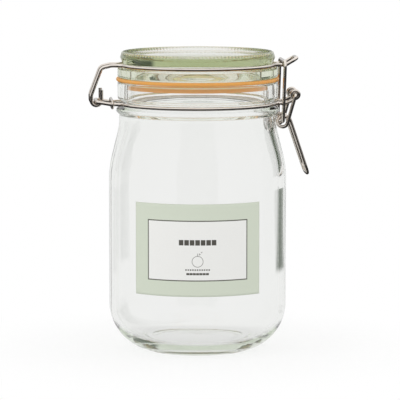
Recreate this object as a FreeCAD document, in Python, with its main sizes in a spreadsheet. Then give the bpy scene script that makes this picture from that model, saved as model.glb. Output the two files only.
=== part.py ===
"""Preserving jar with a glass lid, a rubber seal and a sprung wire closure.

Millimetres. Z is up, the base stands on z = 0 and Z is the jar's own axis. The hinge is
on the -X side and the latch on the +X side, so both pivots run along Y.
"""
import FreeCAD, Part
import math
import os

import Sketcher

V = FreeCAD.Vector
UP = V(0, 0, 1)

doc = FreeCAD.newDocument("preserving_jar")

# ---------------------------------------------------------------- driving dimensions

SIZES = [
    # alias, value, what it is
    ("body_radius", 53.0, "outside of the straight wall"),
    ("body_wall", 3.7, "thickness of the straight wall"),
    ("rim_height", 161.0, "top of the lip above the base"),
    ("mouth_radius", 42.0, "inside of the neck and mouth"),
    ("lip_wall", 5.8, "thickness of the lip"),
    # base
    ("foot_inset", 20.0, "from the wall in to the ring that the jar stands on"),
    ("foot_width", 4.0, "width of that ring"),
    ("foot_rise", 1.6, "how far the base is pushed up inside the ring"),
    ("corner_low", 7.4, "where the wall would meet the slope up from the foot"),
    ("corner_round", 29.2, "outside radius between wall and base"),
    ("floor_height", 6.2, "top of the glass floor"),
    ("floor_inset", 19.0, "from the outside of the wall in to the flat part of the floor"),
    ("floor_round", 5.0, "inside rounding at the edge of the floor"),
    ("inside_low", 12.0, "where the inside wall would meet the slope up from the floor"),
    ("inside_round", 20.0, "inside radius between wall and floor"),
    # shoulder, neck and lip, measured down from the rim and in from the lip
    ("shoulder_drop", 51.0, "where the shoulder starts to lean in"),
    ("shoulder_round", 60.0, "radius at the foot of the shoulder"),
    ("neck_drop", 26.5, "where the shoulder has become the neck"),
    ("neck_round", 30.0, "radius at the top of the shoulder"),
    ("neck_inset", 0.9, "neck under the bead"),
    ("bead_drop", 19.8, "underside of the bead"),
    ("bead_height", 5.4, "height of the bead that the neck wire rests on"),
    ("bead_proud", 0.9, "how far the bead stands out past the lip"),
    ("bead_slope", 1.8, "height of the bead's sloping faces"),
    ("bead_round", 1.4, "rounding of the bead"),
    ("lip_height", 10.1, "height of the lip"),
    ("rim_round", 1.2, "rounding of the lip's edges"),
    ("groove_round", 0.9, "rounding of the wire grooves"),
    ("groove_bite", 0.3, "how far the neck wire stands out past the lip"),
    # seal
    ("seal_gap", 0.05, "between the seal and each glass face"),
    ("seal_thick", 2.1, "seal thickness"),
    ("seal_proud", 0.8, "how far the seal stands out past the lip"),
    ("seal_fit", 0.3, "between the seal's bore and the lid's plug"),
    ("seal_round", 0.95, "rounding of the seal's outer edge"),
    # lid, measured in from the lip
    ("plug_clear", 0.8, "between the mouth and the lid's plug where it meets the seal"),
    ("plug_taper", 2.4, "how much narrower the plug is at its lower end"),
    ("plug_depth", 3.6, "how far the plug hangs under the seal face"),
    ("plug_land", 1.4, "width of the plug's lower face"),
    ("plug_round", 0.6, "rounding of the plug's lower face"),
    ("flange_height", 6.0, "height of the flange above the seal"),
    ("flange_round", 1.0, "rounding of the flange"),
    ("waist_inset", 2.9, "depth of the groove that holds the lid wire"),
    ("waist_height", 2.6, "height of that groove"),
    ("band_inset", 1.5, "widest part of the lid's thick edge"),
    ("band_rise", 3.4, "from the groove to the widest part"),
    ("lid_top_inset", 2.6, "outside of the lid's top edge"),
    ("band_top", 3.4, "from the widest part to the top edge"),
    ("lid_rim_width", 2.2, "width of the raised rim on top"),
    ("lid_rim_drop", 2.0, "depth of the dish inside that rim"),
    ("lid_rim_slope", 1.6, "width of the slope into the dish"),
    ("lid_crown", 0.6, "how far the dish rises at its middle"),
    ("lid_plate", 4.4, "thickness of the lid's plate"),
    ("lid_hollow_round", 5.0, "rounding under the plate"),
    ("lid_round", 1.0, "rounding of the top edges"),
    # wires
    ("wire_size", 2.1, "wire diameter"),
    ("wire_gap", 0.08, "between a wire and the glass it hugs"),
    ("wire_seat", 0.25, "between the neck wire and the top of the bead"),
    ("lid_wire_lift", 0.4, "between the lid wire and the top of the flange"),
    ("pivot_gap", 0.15, "between a pin and the eye it turns in"),
    ("side_gap", 0.15, "between wires that pass side by side"),
    ("ring_blend", 5.0, "bend where a wire leaves the glass"),
    # hinge, measured out from the lip and up from the neck wire
    ("hinge_out", 13.0, "hinge bar from the lip"),
    ("hinge_rise", 1.5, "hinge bar over the neck wire"),
    ("hinge_half", 11.0, "half the distance between the hinge arms"),
    ("hinge_bend", 3.0, "bend at each end of the hinge bar"),
    ("knee_out", 4.2, "where arms start to rise"),
    ("collar_out", 3.6, "collar from the lip"),
    ("collar_wire", 1.6, "diameter of the collar's wire"),
    ("hook_radius", 3.0, "inside curl of the lid wire's hooks"),
    ("hook_shoulder", 3.1, "top bend of the hooks inside the hinge bar"),
    ("hook_drop", 1.3, "top bend of the hooks under the lid wire"),
    ("hook_knee", 4.0, "lower bend of the hooks over the hinge bar"),
    ("hook_knee_round", 4.0, "radius of that bend"),
    ("hook_tail", 7.0, "end of the hooks over the hinge bar"),
    ("hook_bend", 3.4, "bend at the top of the hooks"),
    ("hook_side", 0.85, "between the hooks and the hinge arms"),
    # latch
    ("eye_out", 9.7, "least distance from the lip out to the lever pivot"),
    ("eye_clear", 4.5, "least distance from the wall out to the lever pivot"),
    ("eye_rise", 5.1, "lever pivot over the neck wire"),
    ("eye_half", 9.5, "half the distance between the eyes"),
    ("eye_turn", 298.0, "how far round each eye is curled, in degrees"),
    ("catch_half", 8.0, "half the width of the catch"),
    ("catch_out", 4.2, "where the catch turns up, from the flange"),
    ("catch_reach", 6.8, "length of the turned-up part"),
    ("catch_rise", 4.0, "rise of the catch"),
    ("catch_bend", 3.0, "bends of the catch"),
    ("loop_inset", 7.7, "lever's loops inside the pivot"),
    ("loop_drop", 16.0, "lever's loops under the pivot"),
    ("loop_bore", 1.9, "inside radius of the loops"),
    ("loop_lean", 1.5, "where the handle leaves the loops, inside the pivot"),
    ("pin_lift", 0.6, "link's pins above the centre of the loops"),
    ("pin_bend", 1.5, "bend beside each pin"),
    ("pin_tail", 0.5, "how far each pin stands out of its eye"),
    ("grip_out", 8.0, "end of the lever outside the pivot"),
    ("grip_drop", 47.4, "end of the lever under the pivot"),
    ("grip_bend", 5.5, "rounded end of the lever"),
    ("link_bend", 3.2, "bends at the top of the link"),
    # label
    ("label_low", 38.6, "bottom edge of the label"),
    ("label_height", 54.4, "height of the label"),
    ("label_angle", 85.8, "how far round the label reaches, in degrees"),
    ("label_turn", 4.5, "label from the -Y side towards the hinge, in degrees"),
    ("label_thick", 0.16, "paper and glue"),
    ("label_gap", 0.02, "between paper and glass"),
]

sheet = doc.addObject("Spreadsheet::Sheet", "Sizes")
for row, (alias, value, meaning) in enumerate(SIZES, start=1):
    sheet.set(f"A{row}", meaning)
    sheet.set(f"B{row}", str(value))
    sheet.setAlias(f"B{row}", alias)
doc.recompute()


def size(alias):
    return float(sheet.get(alias))


def total(words):
    """The value of a sum of sizes, such as "rim_height + seal_gap - 2"."""
    value = 0.0
    sign = 1.0
    for word in words.split():
        if word in "+-":
            sign = 1.0 if word == "+" else -1.0
        elif word[0].isdigit():
            value += sign * float(word)
        else:
            value += sign * size(word)
    return value


def bound(words):
    """The same sum as an expression on the sheet."""
    return " ".join(f"Sizes.{word}" if word[0].isalpha() else word for word in words.split())


# sums that more than one piece is built from
LIP = "mouth_radius + lip_wall"
FOOT = "body_radius - foot_inset"
BEAD_LOW = "rim_height - bead_drop"
BEAD_HIGH = BEAD_LOW + " + bead_height"
NECK_GROOVE = LIP + " + groove_bite - wire_size"
PLUG = "mouth_radius - plug_clear"
SEAL_LOW = "rim_height + seal_gap"
SEAL_FACE = SEAL_LOW + " + seal_thick + seal_gap"
FLANGE_TOP = SEAL_FACE + " + flange_height"
WAIST = LIP + " - waist_inset"


def neck_wire_height():
    return total(BEAD_HIGH + " + wire_seat") + size("wire_size") / 2


def lid_wire_height():
    return total(FLANGE_TOP + " + lid_wire_lift") + size("wire_size") / 2


def hinge_bar():
    """Centre of the bar that the lid turns on."""
    return V(-total(LIP + " + hinge_out"), 0, neck_wire_height() + size("hinge_rise"))


def lever_pivot():
    """Centre of the eyes that the lever turns in."""
    reach = max(total(LIP + " + eye_out"), total("body_radius + eye_clear"))
    return V(reach, 0, neck_wire_height() + size("eye_rise"))


def lever_loop():
    """Centre of the loops that hold the link."""
    return lever_pivot() - V(size("loop_inset"), 0, size("loop_drop"))


# ---------------------------------------------------------------- sketched profiles


def origin_plane(body, role):
    return next(item for item in body.Origin.OriginFeatures if item.Role == role)


def rounding(before, corner, after, radius):
    """Start, centre and end of the arc that rounds a corner."""
    to_before = (before - corner).normalize()
    to_after = (after - corner).normalize()
    half = to_before.getAngle(to_after) / 2
    reach = radius / math.tan(half)
    middle = (to_before + to_after).normalize()
    centre = corner + middle * (radius / math.sin(half))
    return corner + to_before * reach, centre, corner + to_after * reach


def add_outline(sketch, corners):
    """A closed outline. Each corner is (across, up, radius): sums of sizes, radius "" if sharp."""
    points = [V(total(across), total(up), 0) for across, up, _ in corners]
    count = len(points)
    starts, ends, centres = [], [], []
    for i, (_, _, radius) in enumerate(corners):
        if radius:
            start, centre, end = rounding(points[i - 1], points[i], points[(i + 1) % count], total(radius))
        else:
            start, centre, end = points[i], None, points[i]
        starts.append(start)
        centres.append(centre)
        ends.append(end)
    lines = []
    for i in range(count):
        segment = Part.LineSegment(ends[i], starts[(i + 1) % count])
        lines.append(sketch.addGeometry(segment, False))
    for i, (across, up, radius) in enumerate(corners):
        before, after = lines[i - 1], lines[i]
        if radius:
            turn = (points[i] - points[i - 1]).cross(points[(i + 1) % count] - points[i]).z
            first, last = (starts[i], ends[i]) if turn > 0 else (ends[i], starts[i])
            spokes = [first - centres[i], last - centres[i]]
            angles = [math.atan2(spoke.y, spoke.x) for spoke in spokes]
            circle = Part.Circle(centres[i], UP, total(radius))
            arc = sketch.addGeometry(Part.ArcOfCircle(circle, angles[0], angles[1]), False)
            ends_of_arc = (1, 2) if turn > 0 else (2, 1)
            sketch.addConstraint(Sketcher.Constraint("Tangent", before, 2, arc, ends_of_arc[0]))
            sketch.addConstraint(Sketcher.Constraint("Tangent", arc, ends_of_arc[1], after, 1))
            rule = sketch.addConstraint(Sketcher.Constraint("Radius", arc, total(radius)))
            sketch.setExpression(f"Constraints[{rule}]", bound(radius))
            mark = sketch.addGeometry(Part.Point(points[i]), True)
            sketch.addConstraint(Sketcher.Constraint("PointOnObject", mark, 1, before))
            sketch.addConstraint(Sketcher.Constraint("PointOnObject", mark, 1, after))
        else:
            sketch.addConstraint(Sketcher.Constraint("Coincident", before, 2, after, 1))
            mark = after
        for kind, words, value in (("DistanceX", across, points[i].x), ("DistanceY", up, points[i].y)):
            if value == 0:
                other = -2 if kind == "DistanceX" else -1
                sketch.addConstraint(Sketcher.Constraint("PointOnObject", mark, 1, other))
            else:
                rule = sketch.addConstraint(Sketcher.Constraint(kind, -1, 1, mark, 1, value))
                sketch.setExpression(f"Constraints[{rule}]", bound(words))


def turned(name, corners, angle=""):
    """A body of revolution about Z from a closed outline of (radius, height) corners."""
    body = doc.addObject("PartDesign::Body", name)
    body.Label = name
    sketch = body.newObject("Sketcher::SketchObject", f"{name}_outline")
    sketch.AttachmentSupport = [(origin_plane(body, "XZ_Plane"), "")]
    sketch.MapMode = "FlatFace"
    add_outline(sketch, corners)
    doc.recompute()
    spin = body.newObject("PartDesign::Revolution", f"{name}_spin")
    spin.Profile = sketch
    spin.ReferenceAxis = (sketch, ["V_Axis"])
    if angle:
        spin.Midplane = True
        spin.setExpression("Angle", bound(angle))
    else:
        spin.Angle = 360.0
    sketch.Visibility = False
    return body


# ---------------------------------------------------------------- glass, seal and label


def make_jar_body():
    bore = "body_radius - body_wall"
    foot_bore = FOOT + " - foot_width"
    neck = LIP + " - neck_inset"
    bead = LIP + " + bead_proud"
    lip_low = "rim_height - lip_height"
    leaning = "rim_height - shoulder_drop"
    upright = "rim_height - neck_drop"
    return turned("jar_body", [
        ("0", "foot_rise", ""),
        (foot_bore + " - foot_rise", "foot_rise", ""),
        (foot_bore, "0", ""),
        (FOOT, "0", ""),
        ("body_radius", "corner_low", "corner_round"),
        ("body_radius", leaning, "shoulder_round"),
        (neck, upright, "neck_round"),
        (neck, BEAD_LOW, ""),
        (bead, BEAD_LOW + " + bead_slope", "bead_round"),
        (bead, BEAD_HIGH + " - bead_slope", "bead_round"),
        (NECK_GROOVE, BEAD_HIGH, "groove_round"),
        (NECK_GROOVE, lip_low + " - groove_round", "groove_round"),
        (LIP, lip_low, "groove_round"),
        (LIP, "rim_height", "rim_round"),
        ("mouth_radius", "rim_height", "rim_round"),
        ("mouth_radius", upright, "neck_round"),
        (bore, leaning, "shoulder_round"),
        (bore, "inside_low", "inside_round"),
        ("body_radius - floor_inset", "floor_height", "floor_round"),
        ("0", "floor_height", ""),
    ])


def make_gasket():
    bore = PLUG + " + seal_fit"
    outer = LIP + " + seal_proud"
    top = SEAL_LOW + " + seal_thick"
    return turned("gasket", [
        (bore, SEAL_LOW, ""),
        (outer, SEAL_LOW, "seal_round"),
        (outer, top, "seal_round"),
        (bore, top, ""),
    ])


def make_lid():
    waist_top = FLANGE_TOP + " + waist_height"
    widest = waist_top + " + band_rise"
    top = widest + " + band_top"
    dish = top + " - lid_rim_drop"
    edge = LIP + " - lid_top_inset"
    rim = edge + " - lid_rim_width"
    plate = dish + " + lid_crown - lid_plate"
    tip = SEAL_FACE + " - plug_depth"
    hollow = PLUG + " - plug_taper - plug_land"
    return turned("lid", [
        (hollow, tip, "plug_round"),
        (PLUG + " - plug_taper", tip, "plug_round"),
        (PLUG, SEAL_FACE, ""),
        (LIP, SEAL_FACE, "flange_round"),
        (LIP, FLANGE_TOP, "flange_round"),
        (WAIST, FLANGE_TOP, "groove_round"),
        (WAIST, waist_top, "groove_round"),
        (LIP + " - band_inset", widest, "lid_round"),
        (edge, top, "lid_round"),
        (rim, top, "lid_round"),
        (rim + " - lid_rim_slope", dish, "lid_round"),
        ("0", dish + " + lid_crown", ""),
        ("0", plate, ""),
        (hollow, plate, "lid_hollow_round"),
    ])


def make_label():
    inside = "body_radius + label_gap"
    body = turned("label", [
        (inside, "label_low", ""),
        (inside + " + label_thick", "label_low", ""),
        (inside + " + label_thick", "label_low + label_height", ""),
        (inside, "label_low + label_height", ""),
    ], angle="label_angle")
    # the outline lies on the +X side: turn its middle to the -Y side, then towards the hinge
    body.Placement.Rotation = FreeCAD.Rotation(UP, -90 - size("label_turn"))
    return body


# ---------------------------------------------------------------- bent wire


def line(start, end):
    return Part.LineSegment(start, end).toShape()


def bend(corner, before, after, radius):
    """Start, end and edge of the arc that rounds a corner of a wire's route."""
    start, centre, end = rounding(before, corner, after, radius)
    crown = centre + (corner - centre).normalize() * radius
    return start, end, Part.Arc(start, crown, end).toShape()


def run(points, radii):
    """Edges along straight runs, with an arc of the given radius at each inner point."""
    edges = []
    here = points[0]
    for i in range(1, len(points) - 1):
        start, end, arc = bend(points[i], here, points[i + 1], radii[i - 1])
        if start.distanceToPoint(here) > 0.001:
            edges.append(line(here, start))
        edges.append(arc)
        here = end
    edges.append(line(here, points[-1]))
    return edges


def leave_ring(radius, half, height, side):
    """Arc from a ring to an arm at y = -half that runs along X. side is 1 at +X, -1 at -X."""
    blend = size("ring_blend")
    across = -(half + blend)
    centre = V(side * math.sqrt((radius + blend) ** 2 - across**2), across, height)
    from_axis = V(centre.x, centre.y, 0).normalize()
    on_glass = V(0, 0, height) + from_axis * radius
    on_arm = centre + V(0, blend, 0)
    crown = centre + ((on_glass + on_arm) / 2 - centre).normalize() * blend
    return on_glass, on_arm, Part.Arc(on_glass, crown, on_arm).toShape()


def mirrored(edges):
    """The same edges on the other side of the XZ plane."""
    return [edge.mirror(V(0, 0, 0), V(0, 1, 0)) for edge in edges]


def wire_piece(name, edges, diameter):
    """A round wire along the edges, as one solid, checked against its length."""
    path = Part.Wire(Part.__sortEdges__(edges))
    first = path.OrderedEdges[0]
    start = path.OrderedVertexes[0].Point
    at_start = first.valueAt(first.FirstParameter).distanceToPoint(start) < 0.001
    where = first.FirstParameter if at_start else first.LastParameter
    section = Part.Circle(start, first.tangentAt(where), diameter / 2).toShape()
    shape = path.makePipeShell([Part.Wire([section])], True, False)
    expected = math.pi * diameter**2 / 4 * path.Length
    print(f"{name}: {path.Length:.0f} mm of wire, volume {shape.Volume / expected:.4f} of the expected")
    if abs(shape.Volume / expected - 1) > 0.01:
        raise RuntimeError(f"{name} folded over itself")
    piece = doc.addObject("Part::Feature", name)
    piece.Label = name
    piece.Shape = shape
    return piece


def tangent_from(point, centre, radius, side):
    """Where the tangent from a point touches a circle in the XZ plane. side is 1 or -1."""
    to_centre = centre - point
    reach = math.sqrt(to_centre.Length**2 - radius**2)
    angle = math.atan2(to_centre.z, to_centre.x) + side * math.asin(radius / to_centre.Length)
    return point + V(math.cos(angle), 0, math.sin(angle)) * reach


def make_neck_wire():
    wire = size("wire_size")
    height = neck_wire_height()
    ring = total(NECK_GROOVE + " + wire_gap") + wire / 2
    half = size("hinge_half")
    bar = hinge_bar()
    knee_x = total(LIP + " + knee_out")
    ring_left, arm_left, blend_left = leave_ring(ring, half, height, -1)
    ring_right, arm_right, blend_right = leave_ring(ring, size("eye_half"), height, 1)
    around = Part.Arc(ring_left, V(0, -ring, height), ring_right).toShape()
    # hinge end: the arm rises a little and turns into the bar
    knee = V(-knee_x, -half, height)
    corner = V(bar.x, -half, bar.z)
    hinge = run([arm_left, knee, corner, bar], [size("ring_blend"), size("hinge_bend")])
    # latch end: the arm rises to the eye and curls round the lever's pin
    eye = lever_pivot() + V(0, -size("eye_half"), 0)
    curl = wire + size("pivot_gap")
    knee = V(knee_x, -size("eye_half"), height)
    touch = tangent_from(knee, eye, curl, -1)
    rise = run([arm_right, knee, touch], [size("ring_blend")])
    spoke = touch - eye
    begin = math.atan2(spoke.z, spoke.x)
    turn = math.radians(size("eye_turn"))
    on_curl = [eye + V(math.cos(a), 0, math.sin(a)) * curl for a in (begin, begin + turn / 2, begin + turn)]
    eyelet = Part.Arc(*on_curl).toShape()
    near = hinge + [blend_left, around, blend_right] + rise + [eyelet]
    return wire_piece("neck_wire", near + mirrored(near), wire)


def make_lid_wire():
    wire = size("wire_size")
    height = lid_wire_height()
    ring = total(WAIST + " + wire_gap") + wire / 2
    half = size("hinge_half") - wire - size("hook_side") - size("side_gap")
    bar = hinge_bar() + V(0, -half, 0)
    ring_left, arm_left, blend_left = leave_ring(ring, half, height, -1)
    ring_right, arm_right, blend_right = leave_ring(ring, size("catch_half"), height, 1)
    around = Part.Arc(ring_left, V(0, -ring, height), ring_right).toShape()
    # hinge end: down, round the hinge bar and up again
    curl = size("hook_radius")
    low = bar.z - wire - size("pivot_gap")
    level = V(-total(LIP + " + knee_out"), -half, height)
    shoulder = V(bar.x + size("hook_shoulder"), -half, height - size("hook_drop"))
    knee = V(bar.x - curl, -half, bar.z + size("hook_knee"))
    outer = V(bar.x - curl, -half, low)
    inner = V(bar.x + curl, -half, low)
    tail = V(bar.x + curl, -half, bar.z + size("hook_tail"))
    radii = [size("ring_blend"), size("hook_bend"), size("hook_knee_round"), curl, curl]
    hook = run([arm_left, level, shoulder, knee, outer, inner, tail], radii)
    # latch end: out, up and across as one closed catch
    turn_up = V(total(LIP + " + catch_out"), -size("catch_half"), height)
    tip = turn_up + V(size("catch_reach"), 0, size("catch_rise"))
    catch = run([arm_right, turn_up, tip, V(tip.x, 0, tip.z)], [size("catch_bend"), size("catch_bend")])
    near = hook + [blend_left, around, blend_right] + catch
    return wire_piece("lid_wire", near + mirrored(near), wire)


# the loops' arcs take this share of the loops' radius, so a short straight run is left between them
LOOP_ARC = 0.97


def lever_side():
    """y of the lever's legs: just outside the eyes, past the bend of its pins."""
    return size("eye_half") + size("wire_size") / 2 + size("side_gap") + size("pin_bend")


def link_side():
    """y of the link's arms: just outside the lever's loops, past the bend of its pins."""
    return lever_side() + size("wire_size") / 2 + size("side_gap") + size("pin_bend")


def make_lever_wire():
    wire = size("wire_size")
    pivot = lever_pivot()
    loop = lever_loop()
    curl = size("loop_bore") + wire / 2
    side = lever_side()
    grip_side = side - wire - 2 * size("side_gap")
    pin_end = pivot + V(0, -(size("eye_half") - wire / 2 - size("pin_tail")), 0)
    pin = pivot + V(0, -side, 0)
    touch = tangent_from(pivot, loop, curl, 1)
    slope = (touch - pivot).normalize()
    low = loop.z - curl
    high = loop.z + curl
    foot = pivot + slope * ((low - pivot.z) / slope.z)
    grip = pivot + V(size("grip_out"), 0, -size("grip_drop"))
    step = (side - grip_side) / 4
    corners = [
        V(foot.x, -side, low),
        V(loop.x - curl, -(side - step), low),
        V(loop.x - curl, -(side - 3 * step), high),
        V(pivot.x - wire - size("loop_lean"), -grip_side, high),
    ]
    end = V(grip.x, -grip_side, grip.z)
    points = [pin_end, pin] + corners + [end, grip]
    arcs = curl * LOOP_ARC
    near = run(points, [size("pin_bend"), arcs, arcs, arcs, curl, size("grip_bend")])
    return wire_piece("lever_wire", near + mirrored(near), wire)


def make_link_wire():
    wire = size("wire_size")
    side = link_side()
    pin = lever_loop() + V(0, 0, size("pin_lift"))
    bar = V(total(LIP + " + catch_out") - wire / 2, 0, lid_wire_height() + wire + size("side_gap"))
    inner = lever_side() - 2 * wire - 2 * size("side_gap") - size("pin_tail")
    points = [
        pin + V(0, -inner, 0),
        pin + V(0, -side, 0),
        bar + V(0, -side, 0),
        bar,
    ]
    near = run(points, [size("pin_bend"), size("link_bend")])
    return wire_piece("link_wire", near + mirrored(near), wire)


def make_collar():
    """A small closed ring squeezed round both hinge arms."""
    wire = size("collar_wire")
    gap = (size("wire_size") + wire) / 2 + size("side_gap")
    across = size("hinge_half") + gap
    height = neck_wire_height()
    x = -total(LIP + " + collar_out")
    edges = []
    top = height + gap
    low = height - gap
    inner = across - gap
    edges.append(line(V(x, -inner, top), V(x, inner, top)))
    edges.append(Part.Arc(V(x, inner, top), V(x, across, height), V(x, inner, low)).toShape())
    edges.append(line(V(x, inner, low), V(x, -inner, low)))
    edges.append(Part.Arc(V(x, -inner, low), V(x, -across, height), V(x, -inner, top)).toShape())
    return wire_piece("collar", edges, wire)


# ---------------------------------------------------------------- build and write

pieces = [
    make_jar_body(),
    make_gasket(),
    make_lid(),
    make_label(),
    make_neck_wire(),
    make_lid_wire(),
    make_lever_wire(),
    make_link_wire(),
    make_collar(),
]
doc.recompute()

for item in doc.Objects:
    if "Invalid" in item.State or "Error" in item.State:
        raise RuntimeError(f"{item.Label} did not build: {item.State}")
for piece in pieces:
    if piece.Shape.isNull() or not piece.Shape.isValid():
        raise RuntimeError(f"{piece.Label} has no valid shape")

os.makedirs("parts", exist_ok=True)
for piece in pieces:
    piece.Shape.exportStep(f"parts/{piece.Label}.step")
    bounds = piece.Shape.BoundBox
    print(f"{piece.Label}: {piece.Shape.Volume / 1000:.2f} cm3, x {bounds.XMin:.1f} to {bounds.XMax:.1f},"
          f" y {bounds.YMin:.1f} to {bounds.YMax:.1f}, z {bounds.ZMin:.1f} to {bounds.ZMax:.1f}")
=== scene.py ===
"""Looks of a preserving jar: clear glass with a green tint, an orange rubber seal, a closure
of bright wire and a paper label. The file is laid out as an add-on and run as a script."""
import math

import bmesh
import bpy
from bpy.props import FloatProperty, FloatVectorProperty, IntProperty, PointerProperty
from mathutils import Matrix, Vector


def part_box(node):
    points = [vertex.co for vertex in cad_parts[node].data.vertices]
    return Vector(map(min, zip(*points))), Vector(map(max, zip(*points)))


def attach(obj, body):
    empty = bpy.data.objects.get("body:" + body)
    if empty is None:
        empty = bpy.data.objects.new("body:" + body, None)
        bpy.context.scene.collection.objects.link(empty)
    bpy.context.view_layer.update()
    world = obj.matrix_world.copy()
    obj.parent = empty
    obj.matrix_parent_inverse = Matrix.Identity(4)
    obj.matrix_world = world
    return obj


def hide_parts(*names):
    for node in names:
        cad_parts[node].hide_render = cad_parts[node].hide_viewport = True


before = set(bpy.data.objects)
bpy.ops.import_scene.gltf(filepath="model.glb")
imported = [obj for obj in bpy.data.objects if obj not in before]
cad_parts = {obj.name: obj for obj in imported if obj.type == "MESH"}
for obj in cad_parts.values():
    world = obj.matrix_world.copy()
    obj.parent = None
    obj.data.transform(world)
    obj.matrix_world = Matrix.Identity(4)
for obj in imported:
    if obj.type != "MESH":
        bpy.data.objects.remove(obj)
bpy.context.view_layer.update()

bl_info = {
    "name": "Preserving jar",
    "version": (1, 0, 0),
    "blender": (4, 5, 0),
    "location": "3D View > Sidebar > Jar",
    "description": "Glass, seal, closure, label and studio of a preserving jar",
    "category": "Object",
}

MM = 0.001
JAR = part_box("jar_body")
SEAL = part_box("gasket")
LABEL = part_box("label")
LABEL_GAP, LABEL_THICK = 0.02, 0.16           # millimetres
LABEL_GRID = (96, 40)                         # faces across and up the label
PLAIN_PAPER = (0.3, 0.7)                      # a place on the label with no print
# the label lies on the wall
JAR_RADIUS = -LABEL[0].y - (LABEL_GAP + LABEL_THICK) * MM

WAVES_FROM, WAVES_TO = 8 * MM, 132 * MM       # heights between which the wall is uneven
WAVES_FADE = 20 * MM
CALM_FROM = 110 * MM                          # above this height the inside has no waves
TEETH_FROM, TEETH_TO = 41.0 * MM, 44.2 * MM   # radii between which the lid is toothed
BEAD = 45.5 * MM                              # inside radius of the seal's round bead
WEB = 0.35 * MM                               # thickness of the seal inside its bead
SKIRT_FROM, SKIRT_FADE = 2.2 * MM, 0.4 * MM   # below the seal, where the skirt's colour starts
SEAL_SEGMENTS = 256
WELD, TINY = 1e-6, 1e-7
CLOSURE = ("neck_wire", "lid_wire", "lever_wire", "link_wire", "collar")

# how much white each kind of ray sees
THROUGH = 0.89                                # through clear glass
MIRRORED = 0.84                               # off clear glass
DIFFUSE = 0.92                                # off matt pieces
WIRE_DARK, WIRE_BRIGHT = 0.05, 1.3            # off wire: all round, and added where it is bright
FLOOR_OFF_WIRE = 0.05                         # the floor, off wire

# painted shade behind the jar: a dark card that only rays through the glass see, so it paints dark
# streaks and patches into the glass
PAINTED_SHADE = (0.08, 0.11, 0.07, 1)
PAINTED_SHADE_EDGE = (0.50, 0.62)                      # x / y where it starts, with a soft edge
PAINTED_SHADE_END = 1.9                                # x / y where it stops
PAINTED_SHADE_LEFT = 0.10                              # how strong it is on the hinge side
PAINTED_SHADE_FLOOR = (0.32, 0.36, 1.0)                # metres along the floor: soft start, full, end

# the floor, with distances from the jar's axis in metres
GLOW_NEAR, GLOW_FADE = 0.75, (0.07, 0.16)     # it glows plain white, and near the jar takes shade
UNDER_SHADE_LEVEL, UNDER_SHADE_FADE = 0.8, (0.03, 0.06)   # painted shade: a little darker under the jar, seen through the glass
FLOOR_REACH = 6.0

JAR_MIDDLE = Vector((0, 0, 0.0892))
LAMPS_AT = Vector((0, 0, 0.09))
WHITE = (1, 1, 1, 1)

# ---------------------------------------------------------------- node trees


class Signal:
    """One output of a node. Arithmetic on it adds the Math nodes."""

    def __init__(self, graph, socket):
        self.graph = graph
        self.socket = socket

    def _math(self, operation, *values):
        return self.graph.node("ShaderNodeMath", {"operation": operation}, *values)

    def __add__(self, other):
        return self._math("ADD", self, other)

    __radd__ = __add__

    def __sub__(self, other):
        return self._math("SUBTRACT", self, other)

    def __rsub__(self, other):
        return self._math("SUBTRACT", other, self)

    def __mul__(self, other):
        return self._math("MULTIPLY", self, other)

    __rmul__ = __mul__

    def __truediv__(self, other):
        return self._math("DIVIDE", self, other)

    def __rtruediv__(self, other):
        return self._math("DIVIDE", other, self)

    def __pow__(self, other):
        return self._math("POWER", self, other)

    def __abs__(self):
        return self._math("ABSOLUTE", self)

    def __gt__(self, other):
        return self._math("GREATER_THAN", self, other)

    def __lt__(self, other):
        return self._math("LESS_THAN", self, other)

    def least(self, other):
        return self._math("MINIMUM", self, other)

    def most(self, other):
        return self._math("MAXIMUM", self, other)

    def fraction(self):
        return self._math("FRACT", self)

    def clamped(self):
        return self.most(0.0).least(1.0)


class Graph:
    """A shader or geometry tree that is built by calls."""

    def __init__(self, tree):
        self.tree = tree

    def node(self, kind, settings=None, *values, out=0, **named):
        """Adds a node: settings first, then the values or links of its sockets."""
        node = self.tree.nodes.new(kind)
        for key, value in (settings or {}).items():
            setattr(node, key, value)
        for i, value in enumerate(values):
            self._feed(node.inputs[i], value)
        for key, value in named.items():
            self._feed(node.inputs[key.replace("_", " ")], value)
        self.last = node
        return Signal(self, node.outputs[out]) if len(node.outputs) else node

    def _feed(self, socket, value):
        if isinstance(value, Signal):
            self.tree.links.new(value.socket, socket)
        elif value is not None:
            socket.default_value = value

    def mix(self, factor, first, second):
        """A colour between two colours. The numbers are the node's sockets for colours."""
        node = self.tree.nodes.new("ShaderNodeMix")
        node.data_type = "RGBA"
        for socket, value in ((0, factor), (6, first), (7, second)):
            self._feed(node.inputs[socket], value)
        return Signal(self, node.outputs[2])

    def coordinates(self, output="Object"):
        self.node("ShaderNodeTexCoord")
        return Signal(self, self.last.outputs[output])

    def parts(self, vector):
        self.node("ShaderNodeSeparateXYZ", None, vector)
        return [Signal(self, output) for output in self.last.outputs]

    def noise(self, scale, detail, vector):
        return self.node("ShaderNodeTexNoise", None, Vector=vector, Scale=scale, Detail=detail)

    def ramp(self, signal, low, high):
        """0 below low, 1 above high, smooth between."""
        settings = {"interpolation_type": "SMOOTHSTEP"}
        return self.node("ShaderNodeMapRange", settings, signal, low, high, 0.0, 1.0)


def new_material(name):
    """The graph of a new material."""
    material = bpy.data.materials.new(name)
    material.use_nodes = True
    material.node_tree.nodes.clear()
    return Graph(material.node_tree)


def finish_material(graph, surface, volume=None):
    graph.node("ShaderNodeOutputMaterial", None, Surface=surface, Volume=volume)


def assign(piece, material):
    piece.data.materials.clear()
    piece.data.materials.append(material)


# ---------------------------------------------------------------- sizes that a user may change


def length(name, description, default):
    return FloatProperty(name=name, description=description, default=default * MM, unit="LENGTH")


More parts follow.
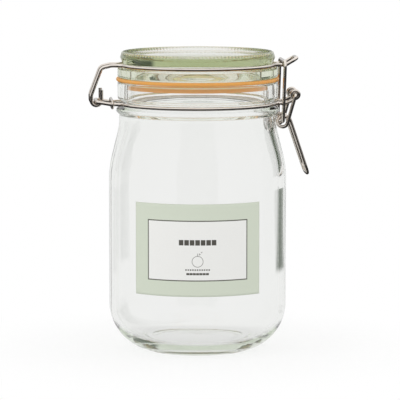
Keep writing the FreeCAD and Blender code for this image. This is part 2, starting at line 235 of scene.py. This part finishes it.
class JarSizes(bpy.types.PropertyGroup):
    wall: length("Wall", "Thickness of the straight wall", 3.7)
    mouth: length("Mouth", "Inside radius of the mouth", 42.0)
    neck: length("Neck", "Outside radius of the neck", 46.9)
    lip: length("Lip", "Outside radius of the lip", 47.8)
    bead: length("Bead", "Outside radius of the bead under the neck wire", 48.7)
    ripple: length("Ripple", "How uneven the inside of the wall is", 0.05)
    seam: length("Seam", "Height of the two mould seams", 0.08)
    turns: IntProperty(name="Segments", description="Segments round the glass", default=288)


class LidSizes(bpy.types.PropertyGroup):
    teeth: IntProperty(name="Teeth", description="Moulded teeth round the rim", default=120)
    tooth: length("Tooth", "Height of a moulded tooth", 0.7)
    steps: IntProperty(name="Steps", description="Faces across one tooth", default=6)


class SealSizes(bpy.types.PropertyGroup):
    skirt: length("Skirt", "How far the seal's soft skirt hangs inside the mouth", 4.3)
    skirt_thick: length("Skirt thickness", "Thickness of the skirt", 0.45)
    skirt_gap: length("Skirt gap", "Between the skirt and the mouth", 0.12)


class LabelSizes(bpy.types.PropertyGroup):
    angle: FloatProperty(
        name="Angle", description="How far round the label reaches", subtype="ANGLE",
        default=math.radians(85.8))
    turn: FloatProperty(
        name="Turn", description="Label from the front towards the hinge", subtype="ANGLE",
        default=math.radians(4.5))
    gap: length("Gap", "Between paper and glass", LABEL_GAP)
    thick: length("Thickness", "Paper and glue", LABEL_THICK)


def tone(name, description, default):
    return FloatVectorProperty(name=name, description=description, default=default, subtype="COLOR")


class Finishes(bpy.types.PropertyGroup):
    jar_tint: tone("Jar tint", "Colour that the jar's glass takes with depth", (0.52, 0.62, 0.42))
    jar_depth: FloatProperty(
        name="Jar depth", description="Absorption of the jar per metre", default=9.0)
    lid_tint: tone("Lid tint", "Colour that the lid's glass takes with depth", (0.50, 0.58, 0.20))
    lid_depth: FloatProperty(
        name="Lid depth", description="Absorption of the lid per metre", default=19.0)
    rubber: tone("Rubber", "Colour of the seal", (0.74, 0.35, 0.075))
    web: tone("Web", "Colour of the seal where it is thin", (0.92, 0.76, 0.50))
    skirt: tone("Skirt", "Colour of the seal's skirt", (0.80, 0.36, 0.06))
    steel: tone("Steel", "Colour of the wire", (0.62, 0.57, 0.52))
    sage: tone("Sage", "Colour of the label's border", (0.63, 0.68, 0.57))
    paper: tone("Paper", "Colour of the label's panel", (0.84, 0.84, 0.82))
    ink: tone("Ink", "Colour of the print", (0.045, 0.04, 0.03))


# ---------------------------------------------------------------- turned pieces


def rounded_outline(corners, closed, step=math.radians(6)):
    """Points along an outline of (radius, height, rounding) corners, with arcs at the roundings."""
    points = []
    count = len(corners)
    for i, (across, up, rounding) in enumerate(corners):
        here = Vector((across, up))
        if not rounding or (not closed and i in (0, count - 1)):
            points.append(here)
            continue
        before = (Vector(corners[i - 1][:2]) - here).normalized()
        after = (Vector(corners[(i + 1) % count][:2]) - here).normalized()
        half = before.angle(after) / 2
        start = here + before * (rounding / math.tan(half))
        centre = here + (before + after).normalized() * (rounding / math.sin(half))
        spoke = start - centre
        sweep = math.pi - 2 * half
        if before.cross(after) > 0:
            sweep = -sweep
        steps = max(2, math.ceil(abs(sweep) / step))
        for k in range(steps + 1):
            turn = Matrix.Rotation(sweep * k / steps, 2)
            points.append(centre + turn @ spoke)
    return points


def dense(points, longest):
    """The same line with no stretch over the given length."""
    out = [points[0]]
    for point in points[1:]:
        gap = (point - out[-1]).length
        if gap < TINY:
            continue
        pieces = max(1, math.ceil(gap / longest))
        start = out[-1]
        out += [start.lerp(point, k / pieces) for k in range(1, pieces + 1)]
    return out


def with_normals_out(mesh, name):
    """Turns a bmesh into mesh data whose normals point out."""
    bmesh.ops.recalc_face_normals(mesh, faces=mesh.faces)
    data = bpy.data.meshes.new(name)
    mesh.to_mesh(data)
    mesh.free()
    return data


def placed(name, data):
    """Puts mesh data into the scene as a piece."""
    piece = bpy.data.objects.new(name, data)
    bpy.context.scene.collection.objects.link(piece)
    return piece


def turned(name, outline, segments, closed, shift=None):
    """A closed surface of revolution. An open outline starts and ends on the axis."""
    mesh = bmesh.new()
    rings = []
    for point in outline:
        if point.x < TINY:
            rings.append([mesh.verts.new((0, 0, point.y))])
            continue
        ring = []
        for k in range(segments):
            angle = 2 * math.pi * k / segments
            radius, height = point.x, point.y
            if shift:
                radius += shift(angle, radius, height)
            across, along = radius * math.cos(angle), radius * math.sin(angle)
            ring.append(mesh.verts.new((across, along, height)))
        rings.append(ring)
    for low, high in zip(rings, rings[1:] + (rings[:1] if closed else [])):
        for k in range(segments):
            n = (k + 1) % segments
            if len(low) == 1:
                mesh.faces.new((low[0], high[n], high[k]))
            elif len(high) == 1:
                mesh.faces.new((low[k], low[n], high[0]))
            else:
                mesh.faces.new((low[k], low[n], high[n], high[k]))
    for face in mesh.faces:
        face.smooth = True
    return placed(name, with_normals_out(mesh, name))


def repeated_round(name, unit, count, material):
    """Copies of a mesh, turned evenly about Z and welded into one piece by Geometry Nodes."""
    tree = bpy.data.node_groups.new(f"{name}_ring", "GeometryNodeTree")
    tree.interface.new_socket("Geometry", in_out="INPUT", socket_type="NodeSocketGeometry")
    copies = tree.interface.new_socket("Copies", in_out="INPUT", socket_type="NodeSocketInt")
    weld = tree.interface.new_socket("Weld", in_out="INPUT", socket_type="NodeSocketFloat")
    tree.interface.new_socket("Geometry", in_out="OUTPUT", socket_type="NodeSocketGeometry")
    g = Graph(tree)
    g.node("NodeGroupInput")
    unit_in, copies_in, weld_in = (Signal(g, output) for output in g.last.outputs[:3])
    points = g.node("GeometryNodePoints", None, Count=copies_in)
    number = g.node("GeometryNodeInputIndex")
    turn = number * (2 * math.pi) / copies_in
    spin = g.node("ShaderNodeCombineXYZ", None, 0.0, 0.0, turn)
    ring = g.node("GeometryNodeInstanceOnPoints", None,
                  Points=points, Instance=unit_in, Rotation=spin)
    real = g.node("GeometryNodeRealizeInstances", None, ring)
    welded = g.node("GeometryNodeMergeByDistance", None, Geometry=real, Distance=weld_in)
    whole = g.node("GeometryNodeRealizeInstances", None, welded)
    finished = g.node("GeometryNodeSetMaterial", None, Geometry=whole, Material=material)
    g.node("NodeGroupOutput", None, finished)

    source = placed(f"{name}_source", unit)
    modifier = source.modifiers.new("ring", "NODES")
    modifier.node_group = tree
    modifier[copies.identifier] = count
    modifier[weld.identifier] = WELD
    evaluated = source.evaluated_get(bpy.context.evaluated_depsgraph_get())
    data = bpy.data.meshes.new_from_object(evaluated)
    source.modifiers.remove(modifier)
    bpy.data.objects.remove(source)
    mesh = bmesh.new()
    mesh.from_mesh(data)
    bpy.data.meshes.remove(data)
    piece = placed(name, with_normals_out(mesh, name))
    assign(piece, material)
    return piece


# ---------------------------------------------------------------- materials


def shades(colour, dark, light):
    """A darker and a lighter kind of a colour."""
    return (*(c * dark for c in colour), 1), (*(min(1, c * light) for c in colour), 1)


def glass_material(name, tint, depth):
    g = new_material(name)
    g.node("ShaderNodeLightPath")
    shadow, diffuse = (Signal(g, g.last.outputs[f"Is {kind} Ray"])
                       for kind in ("Shadow", "Diffuse"))
    soft = shadow.most(diffuse)
    swirl = g.noise(14.0, 2.0, g.coordinates())
    bump = g.node("ShaderNodeBump", None, Strength=0.05, Distance=0.002, Height=swirl)
    glass = g.node("ShaderNodeBsdfPrincipled", None, **{
        "Base Color": WHITE, "Roughness": 0.0, "IOR": 1.5, "Transmission Weight": 1.0,
        "Normal": bump})
    # soft light goes straight through
    clear = g.node("ShaderNodeBsdfTransparent", None, (0.93, 0.94, 0.93, 1))
    surface = g.node("ShaderNodeMixShader", None, soft, glass, clear)
    volume = g.node("ShaderNodeVolumeAbsorption", None, (*tint, 1), depth)
    finish_material(g, surface, volume)


def rubber_material(finishes):
    g = new_material("orange_rubber")
    place = g.coordinates()
    mottle = g.noise(900.0, 4.0, place)
    x, y, height = g.parts(place)
    web = (x ** 2 + y ** 2) ** 0.5 < BEAD - 0.1 * MM
    top = SEAL[0].z - SKIRT_FROM
    skirt = 1 - g.ramp(height, top, top + SKIRT_FADE)
    colour = g.mix(mottle, *shades(finishes.rubber, 0.88, 1.08))
    colour = g.mix(web, colour, (*finishes.web, 1))
    colour = g.mix(skirt, colour, (*finishes.skirt, 1))
    bump = g.node("ShaderNodeBump", None, Strength=0.15, Distance=0.0002, Height=mottle)
    surface = g.node("ShaderNodeBsdfPrincipled", None, **{
        "Base Color": colour, "Roughness": 0.45 + 0.15 * mottle, "Normal": bump,
        "Subsurface Weight": 0.15, "Subsurface Radius": (1.0, 0.4, 0.1), "Subsurface Scale": 0.002})
    finish_material(g, surface)


def wire_material(finishes):
    g = new_material("bright_wire")
    place = g.coordinates()
    scuffs = g.noise(900.0, 2.0, place)
    patches = g.noise(90.0, 2.0, place)
    colour = g.mix(patches, *shades(finishes.steel, 0.85, 1.1))
    bump = g.node("ShaderNodeBump", None, Strength=0.05, Distance=0.0001, Height=scuffs)
    surface = g.node("ShaderNodeBsdfPrincipled", None, **{
        "Base Color": colour, "Metallic": 1.0, "Roughness": 0.12 + 0.10 * scuffs, "Normal": bump})
    finish_material(g, surface)


def paper_material(finishes, width, height):
    """Printed paper. The print is laid out in millimetres from the label's middle."""
    g = new_material("label_paper")
    u, v, _ = g.parts(g.coordinates("UV"))
    fibre = g.noise(1800.0, 5.0, g.coordinates())
    across = (u - 0.5) * width
    up = (v - 0.5) * height

    def bar(x, y, half_width, half_height):
        return (abs(across - x) < half_width) * (abs(up - y) < half_height)

    def blocks(y, pitch, count, half_width, half_height):
        """A row of plain blocks, with one on the middle line."""
        along = (across / pitch + 0.5 + count).fraction() - 0.5
        sideways = abs(along) * (pitch / half_width)
        upwards = abs(up - y) / half_height
        return (sideways.most(upwards) < 1.0) * (abs(across) < pitch * count / 2)

    def disc(x, y, radius):
        return ((across - x) ** 2 + (up - y) ** 2) < radius**2

    def ring(x, y, radius, line):
        return disc(x, y, radius) - disc(x, y, radius - line)

    panel = bar(0, -0.2, 30.0, 17.2)
    border = bar(0, -0.2, 30.65, 17.85) - panel
    # a plum with its stalk and a leaf
    fruit = ring(0, -6.4, 3.4, 0.38) + bar(0, -2.5, 0.18, 0.9)
    leaf = disc(0.2, -0.1, 2.6) * disc(3.2, -3.1, 2.6) * (1 - disc(1.8, -1.5, 0.5))
    ink = (blocks(4.7, 3.2, 7, 1.35, 1.6) + blocks(-11.3, 1.35, 11, 0.42, 0.42)
           + blocks(-13.7, 1.9, 7, 0.85, 0.62) + (fruit + leaf) * 0.7)
    sage = (*finishes.sage, 1)
    dark = (*finishes.ink, 1)
    base = g.mix(panel, sage, (*finishes.paper, 1))
    base = g.mix(border.clamped() * 0.9, base, dark)
    base = g.mix(ink.clamped() * 0.97, base, dark)
    base = g.mix(fibre * 0.10, base, (0.3, 0.3, 0.26, 1))
    bump = g.node("ShaderNodeBump", None, Strength=0.1, Distance=0.0001, Height=fibre)
    surface = g.node("ShaderNodeBsdfPrincipled", None, **{
        "Base Color": base, "Roughness": 0.62 + 0.2 * fibre, "Normal": bump})
    finish_material(g, surface)


# ---------------------------------------------------------------- operators


class JAR_OT_materials(bpy.types.Operator):
    """Glass, rubber, wire and paper"""
    bl_idname = "jar.materials"
    bl_label = "Materials"

    def execute(self, context):
        finishes = context.scene.jar_finishes
        label = context.scene.label_sizes
        glass_material("jar_glass", finishes.jar_tint, finishes.jar_depth)
        glass_material("lid_glass", finishes.lid_tint, finishes.lid_depth)
        rubber_material(finishes)
        wire_material(finishes)
        paper_material(finishes, label.angle * JAR_RADIUS / MM, (LABEL[1].z - LABEL[0].z) / MM)
        return {"FINISHED"}


class JAR_OT_body(bpy.types.Operator):
    """Blown glass jar with a foot, a shoulder, a bead and a lip"""
    bl_idname = "jar.body"
    bl_label = "Glass jar"

    def execute(self, context):
        sizes = context.scene.jar_sizes
        wall, mouth, neck, lip, bead = (
            value / MM for value in (sizes.wall, sizes.mouth, sizes.neck, sizes.lip, sizes.bead))
        rim = JAR[1].z / MM
        radius = JAR_RADIUS / MM
        bore = JAR_RADIUS - sizes.wall
        hollow, foot_in, foot_out, heel = 1.6, 28.0, 31.5, 7.4      # under the jar
        floor, floor_edge, corner = 6.2, 34.0, 12.0                 # inside, at the bottom
        groove = 46.0                                               # radius behind the neck wire
        groove_low, groove_high = rim - 14.4, rim - 11.0
        bead_low, bead_high = rim - 18.0, rim - 16.2
        neck_low, neck_high, shoulder = rim - 26.5, rim - 19.8, rim - 51.0
        lip_low = rim - 10.1
        corners = [                                                 # radius, height, rounding
            (0, hollow, 0), (24.0, 1.4, 10.0), (foot_in, 0, 1.5), (foot_out, 0, 1.5),
            (radius, heel, 28.0), (radius, shoulder, 60.0), (neck, neck_low, 30.0),
            (neck, neck_high, 0.8), (bead, bead_low, 1.4), (bead, bead_high, 1.4),
            (groove, groove_low, 0.9), (groove, groove_high, 0.9), (lip, lip_low, 0.9),
            (lip, rim, 1.2), (mouth, rim, 1.2), (mouth, neck_low, 30.0),
            (radius - wall, shoulder, 60.0), (radius - wall, corner, 20.0),
            (floor_edge, floor, 5.0), (0, floor, 0)]
        corners = [(across * MM, up * MM, rounding * MM) for across, up, rounding in corners]
        outline = dense(rounded_outline(corners, closed=False), longest=4 * MM)

        def uneven(angle, r, z):
            """Waves on the inside of the straight wall. Elsewhere, a mould seam up each side."""
            if not WAVES_FROM < z < WAVES_TO:
                return 0.0
            fade = min(1.0, (z - WAVES_FROM) / WAVES_FADE, (WAVES_TO - z) / WAVES_FADE)
            if r > bore + 0.5 * sizes.wall or z > CALM_FROM:
                on_seam = abs(math.sin(angle)) < TINY
                return sizes.seam * fade if on_seam else 0.0
            wave = (math.sin(2 * angle + 40 * z) + 0.6 * math.sin(5 * angle - 30 * z)
                    + 0.4 * math.sin(9 * angle + 1))
            return sizes.ripple * fade * wave

        piece = turned("glass_jar", outline, sizes.turns, False, uneven)
        assign(piece, bpy.data.materials["jar_glass"])
        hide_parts("jar_body")
        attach(piece, "jar")
        return {"FINISHED"}


class JAR_OT_lid(bpy.types.Operator):
    """Pressed glass lid with a thick edge and a ring of fine teeth"""
    bl_idname = "jar.lid"
    bl_label = "Glass lid"

    def execute(self, context):
        sizes = context.scene.lid_sizes
        clearance = 0.05
        face = SEAL[1].z / MM + clearance
        shoulder = face + 6.0
        waist = shoulder + 2.6
        widest = waist + 3.4
        top = widest + 3.4
        dish = top - 2.0
        ceiling = dish - 3.4                    # of the hollow under the lid
        plug_foot = face - 3.6
        flange, neck, edge, crest_in, crest_out = 47.8, 44.9, 46.3, 43.0, 45.2
        dish_edge, plug, plug_tip, hollow = 41.4, 41.2, 38.8, 37.4
        corners = [(r * MM, z * MM, c * MM) for r, z, c in (
            (0, dish + 0.6, 0), (dish_edge, dish, 1.0), (crest_in, top, 0.9), (crest_out, top, 1.0),
            (edge, widest, 1.0), (neck, waist, 0.9), (neck, shoulder, 0.9), (flange, shoulder, 1.0),
            (flange, face, 1.0), (plug, face, 0.4), (plug_tip, plug_foot, 0.6),
            (hollow, plug_foot, 0.6), (hollow, ceiling, 3.0), (0, ceiling, 0))]
        outline = rounded_outline(corners, closed=False, step=math.radians(11))
        outline = dense(outline, longest=8 * MM)
        sector = self.sector(outline, sizes, dish * MM)
        piece = repeated_round("glass_lid", sector, sizes.teeth, bpy.data.materials["lid_glass"])
        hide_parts("lid")
        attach(piece, "cover")
        return {"FINISHED"}

    def sector(self, outline, sizes, dish):
        """One tooth's share of the turned lid: strips of faces from the axis out and back."""
        mesh = bmesh.new()
        share = 2 * math.pi / sizes.teeth
        columns = []
        for k in range(sizes.steps + 1):
            angle = share * k / sizes.steps
            crest = math.sin(math.pi * k / sizes.steps) ** 2
            column = []
            for point in outline:
                toothed = TEETH_FROM < point.x < TEETH_TO and point.y > dish - 0.5 * MM
                drop = sizes.tooth * crest if toothed else 0.0
                across, along = point.x * math.cos(angle), point.x * math.sin(angle)
                column.append(mesh.verts.new((across, along, point.y - drop)))
            columns.append(column)
        for left, right in zip(columns, columns[1:]):
            for low in range(len(outline) - 1):
                mesh.faces.new((left[low], right[low], right[low + 1], left[low + 1]))
        bmesh.ops.remove_doubles(mesh, verts=mesh.verts, dist=WELD)
        for face in mesh.faces:
            face.smooth = True
        data = bpy.data.meshes.new("lid_sector")
        mesh.to_mesh(data)
        mesh.free()
        return data


class JAR_OT_seal(bpy.types.Operator):
    """Rubber sealing ring"""
    bl_idname = "jar.seal"
    bl_label = "Seal"

    def execute(self, context):
        sizes = context.scene.seal_sizes
        low, high = SEAL[0].z, SEAL[1].z
        outer = SEAL[1].x
        inner = context.scene.jar_sizes.mouth - sizes.skirt_gap
        inside = inner - sizes.skirt_thick
        edge = (high - low) / 2 * 0.92      # almost a half circle
        hem = low - sizes.skirt
        web = low + WEB
        corners = [
            (inside, hem, 0.2 * MM), (inner, hem, 0.2 * MM), (inner, low, 0.1 * MM),
            (outer, low, edge), (outer, high, edge), (BEAD, high, edge * 0.8),
            (BEAD, web, 0.1 * MM), (inside, web, 0.1 * MM)]
        outline = rounded_outline(corners, closed=True, step=math.radians(15))
        outline = dense(outline, longest=2 * MM)
        piece = turned("rubber_seal", outline, SEAL_SEGMENTS, True)
        assign(piece, bpy.data.materials["orange_rubber"])
        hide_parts("gasket")
        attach(piece, "cover")
        return {"FINISHED"}


class JAR_OT_closure(bpy.types.Operator):
    """The four bent wires and the collar, with a bright finish"""
    bl_idname = "jar.closure"
    bl_label = "Wire closure"

    def execute(self, context):
        for name in CLOSURE:
            assign(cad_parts[name], bpy.data.materials["bright_wire"])
        return {"FINISHED"}


class JAR_OT_label(bpy.types.Operator):
    """Paper label with a sage border, a white panel and a plain printed motif"""
    bl_idname = "jar.label"
    bl_label = "Label"

    def execute(self, context):
        sizes = context.scene.label_sizes
        radius = JAR_RADIUS + sizes.gap
        thick = sizes.thick
        low, high = LABEL[0].z, LABEL[1].z
        half = sizes.angle / 2
        middle = -math.pi / 2 - sizes.turn
        columns, rows = LABEL_GRID
        mesh = bmesh.new()
        uv = mesh.loops.layers.uv.new("UVMap")
        skins = []
        for r in (radius, radius + thick):
            grid = []
            for j in range(rows + 1):
                line = []
                for i in range(columns + 1):
                    a = middle + half * (2 * i / columns - 1)
                    z = low + (high - low) * j / rows
                    line.append(mesh.verts.new((r * math.cos(a), r * math.sin(a), z)))
                grid.append(line)
            skins.append(grid)
        where = {}
        for j, lines in enumerate(zip(*skins)):
            for i, (back, front) in enumerate(zip(*lines)):
                where[front] = (i / columns, j / rows)
                where[back] = PLAIN_PAPER
        inner, outer = skins
        for j in range(rows):
            for i in range(columns):
                mesh.faces.new((outer[j][i], outer[j][i + 1], outer[j + 1][i + 1], outer[j + 1][i]))
                mesh.faces.new((inner[j][i], inner[j + 1][i], inner[j + 1][i + 1], inner[j][i + 1]))
        for i in range(columns):
            mesh.faces.new((inner[0][i], inner[0][i + 1], outer[0][i + 1], outer[0][i]))
            mesh.faces.new((outer[rows][i], outer[rows][i + 1], inner[rows][i + 1], inner[rows][i]))
        for j in range(rows):
            mesh.faces.new((inner[j + 1][0], inner[j][0], outer[j][0], outer[j + 1][0]))
            mesh.faces.new((outer[j + 1][columns], outer[j][columns],
                            inner[j][columns], inner[j + 1][columns]))
        for face in mesh.faces:
            face.smooth = abs(face.normal.z) < 0.5
            for loop in face.loops:
                loop[uv].uv = where[loop.vert]
        piece = placed("paper_label", with_normals_out(mesh, "paper_label"))
        assign(piece, bpy.data.materials["label_paper"])
        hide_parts("label")
        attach(piece, "jar")
        return {"FINISHED"}


class JAR_OT_stage(bpy.types.Operator):
    """White floor, soft lamps, surroundings and the camera"""
    bl_idname = "jar.stage"
    bl_label = "Stage"

    def execute(self, context):
        scene = context.scene
        floor = bpy.data.meshes.new("floor")
        floor.from_pydata([(x * FLOOR_REACH, y * FLOOR_REACH, 0)
                           for x, y in ((-1, -1), (1, -1), (1, 1), (-1, 1))], [], [(0, 1, 2, 3)])
        ground = placed("floor", floor)
        g = new_material("floor_white")
        rays = self.rays(g)
        place = g.coordinates()
        x, y, _ = g.parts(place)
        away = g.node("ShaderNodeVectorMath", {"operation": "LENGTH"}, place, out=1)
        clean = GLOW_NEAR + (1 - GLOW_NEAR) * g.ramp(away, *GLOW_FADE)
        matt = g.node("ShaderNodeBsdfDiffuse", None, (0.9, 0.9, 0.9, 1))
        # painted shade: the floor seen through the glass is a little darker under the jar
        under = UNDER_SHADE_LEVEL + (1 - UNDER_SHADE_LEVEL) * g.ramp(away, *UNDER_SHADE_FADE)
        near, full, far = PAINTED_SHADE_FLOOR
        # painted shade: a dark card on the floor that only rays through the glass see
        painted_shade = self.painted_shade(g, x, y) * g.ramp(away, near, full) * (away < far)
        level = (rays["seen"] + rays["through"] * THROUGH * under + rays["mirrored"] * MIRRORED
                 + rays["glossed"] * FLOOR_OFF_WIRE)
        shade = g.mix(painted_shade * rays["through"], WHITE, PAINTED_SHADE)
        glow = g.node("ShaderNodeEmission", None, shade, level)
        share = (rays["seen"] * clean + rays["through"]
                 + rays["mirrored"] + rays["glossed"]).clamped()
        surface = g.node("ShaderNodeMixShader", None, share, matt, glow)
        finish_material(g, surface)
        assign(ground, bpy.data.materials["floor_white"])
        self.world(scene)
        self.lamps(scene)
        self.camera(scene)
        scene.view_settings.view_transform = "Standard"
        # light turns back many times inside thick glass before it leaves
        scene.cycles.max_bounces = 32
        scene.cycles.glossy_bounces = 24
        scene.cycles.transmission_bounces = 32
        return {"FINISHED"}

    def rays(self, g):
        """What kind of ray looks: straight, through or off clear glass, off wire, or soft light."""
        g.node("ShaderNodeLightPath")
        kinds = {name: Signal(g, g.last.outputs[f"Is {name} Ray"])
                 for name in ("Camera", "Singular", "Reflection", "Transmission", "Glossy")}
        seen = kinds["Camera"]
        through = kinds["Transmission"] * (1 - seen)
        mirrored = kinds["Reflection"] * kinds["Singular"] * (1 - seen)
        glossed = (kinds["Glossy"] * (1 - kinds["Singular"])
                   * (1 - kinds["Transmission"]) * (1 - seen))
        return {"seen": seen, "through": through, "mirrored": mirrored, "glossed": glossed,
                "diffuse": (1 - seen - through - mirrored - glossed).clamped()}

    def painted_shade(self, g, x, y):
        """How much of the painted shade is there, a dark card seen only through the glass: on the
        latch side, and faintly on the hinge side.
        """
        slope = x / y.most(0.001)
        right = g.ramp(slope, *PAINTED_SHADE_EDGE) * (slope < PAINTED_SHADE_END)
        left = g.ramp(0.0 - slope, *PAINTED_SHADE_EDGE) * (slope > -PAINTED_SHADE_END) * PAINTED_SHADE_LEFT
        return (right + left) * (y > 0.0)

    def world(self, scene):
        world = bpy.data.worlds.new("studio")
        scene.world = world
        world.use_nodes = True
        world.node_tree.nodes.clear()
        g = Graph(world.node_tree)
        rays = self.rays(g)
        x, y, z = g.parts(g.coordinates("Generated"))
        # wires mirror the brightest of what is above, at the left and behind
        above = g.ramp(z, 0.05, 0.45)
        left = g.ramp(0.0 - x, 0.55, 0.8) * 0.8
        behind = g.ramp(y, 0.0, 0.5) * 0.5
        wires = WIRE_DARK + WIRE_BRIGHT * above.most(left).most(behind)
        level = (rays["seen"] + rays["through"] * THROUGH + rays["mirrored"] * MIRRORED
                 + rays["glossed"] * wires + rays["diffuse"] * DIFFUSE)
        # painted shade: a dark card in the surroundings that only rays through the glass see
        shade = g.mix(self.painted_shade(g, x, y) * rays["through"], WHITE, PAINTED_SHADE)
        surface = g.node("ShaderNodeBackground", None, shade, level)
        g.node("ShaderNodeOutputWorld", None, surface)

    def lamps(self, scene):
        for name, place, size, power in (
                ("left_lamp", (-0.7, -0.5, 0.7), 0.5, 1.6),
                ("right_lamp", (0.8, -0.2, 0.6), 0.5, 0.9)):
            data = bpy.data.lights.new(name, "AREA")
            data.shape = "SQUARE"
            data.size = size
            data.energy = power
            lamp = bpy.data.objects.new(name, data)
            scene.collection.objects.link(lamp)
            lamp.location = place
            lamp.visible_glossy = False
            lamp.visible_transmission = False
            lamp.rotation_mode = "QUATERNION"
            lamp.rotation_quaternion = (Vector(place) - LAMPS_AT).to_track_quat("Z", "Y")

    def camera(self, scene):
        data = bpy.data.cameras.new("camera")
        camera = bpy.data.objects.new("camera", data)
        scene.collection.objects.link(camera)
        azimuth, elevation = math.radians(-4.5), math.radians(6.9)
        distance, width = 1.65, 0.24
        back = Vector((math.sin(azimuth) * math.cos(elevation),
                       -math.cos(azimuth) * math.cos(elevation), math.sin(elevation)))
        camera.location = JAR_MIDDLE + back * distance
        camera.rotation_mode = "QUATERNION"
        camera.rotation_quaternion = back.to_track_quat("Z", "Y")
        data.sensor_width = 36.0
        data.lens = data.sensor_width * distance / width
        data.shift_x = 0.006        # the jar stands a little left of the middle of the view
        scene.camera = camera


STEPS = ("materials", "body", "lid", "seal", "closure", "label", "stage")


class JAR_PT_panel(bpy.types.Panel):
    """Lists the pieces of the jar"""
    bl_idname = "JAR_PT_panel"
    bl_label = "Preserving jar"
    bl_space_type = "VIEW_3D"
    bl_region_type = "UI"
    bl_category = "Jar"

    def draw(self, context):
        for step in STEPS:
            self.layout.operator(f"jar.{step}")


CLASSES = (JarSizes, LidSizes, SealSizes, LabelSizes, Finishes, JAR_OT_materials, JAR_OT_body,
           JAR_OT_lid, JAR_OT_seal, JAR_OT_closure, JAR_OT_label, JAR_OT_stage, JAR_PT_panel)
GROUPS = {"jar_sizes": JarSizes, "lid_sizes": LidSizes, "seal_sizes": SealSizes,
          "label_sizes": LabelSizes, "jar_finishes": Finishes}


def register():
    for item in CLASSES:
        bpy.utils.register_class(item)
    for name, group in GROUPS.items():
        setattr(bpy.types.Scene, name, PointerProperty(type=group))


def unregister():
    for name in reversed(GROUPS):
        delattr(bpy.types.Scene, name)
    for item in reversed(CLASSES):
        bpy.utils.unregister_class(item)


def main():
    register()
    for step in STEPS:
        getattr(bpy.ops.jar, step)()


if __name__ == "__main__":
    main()
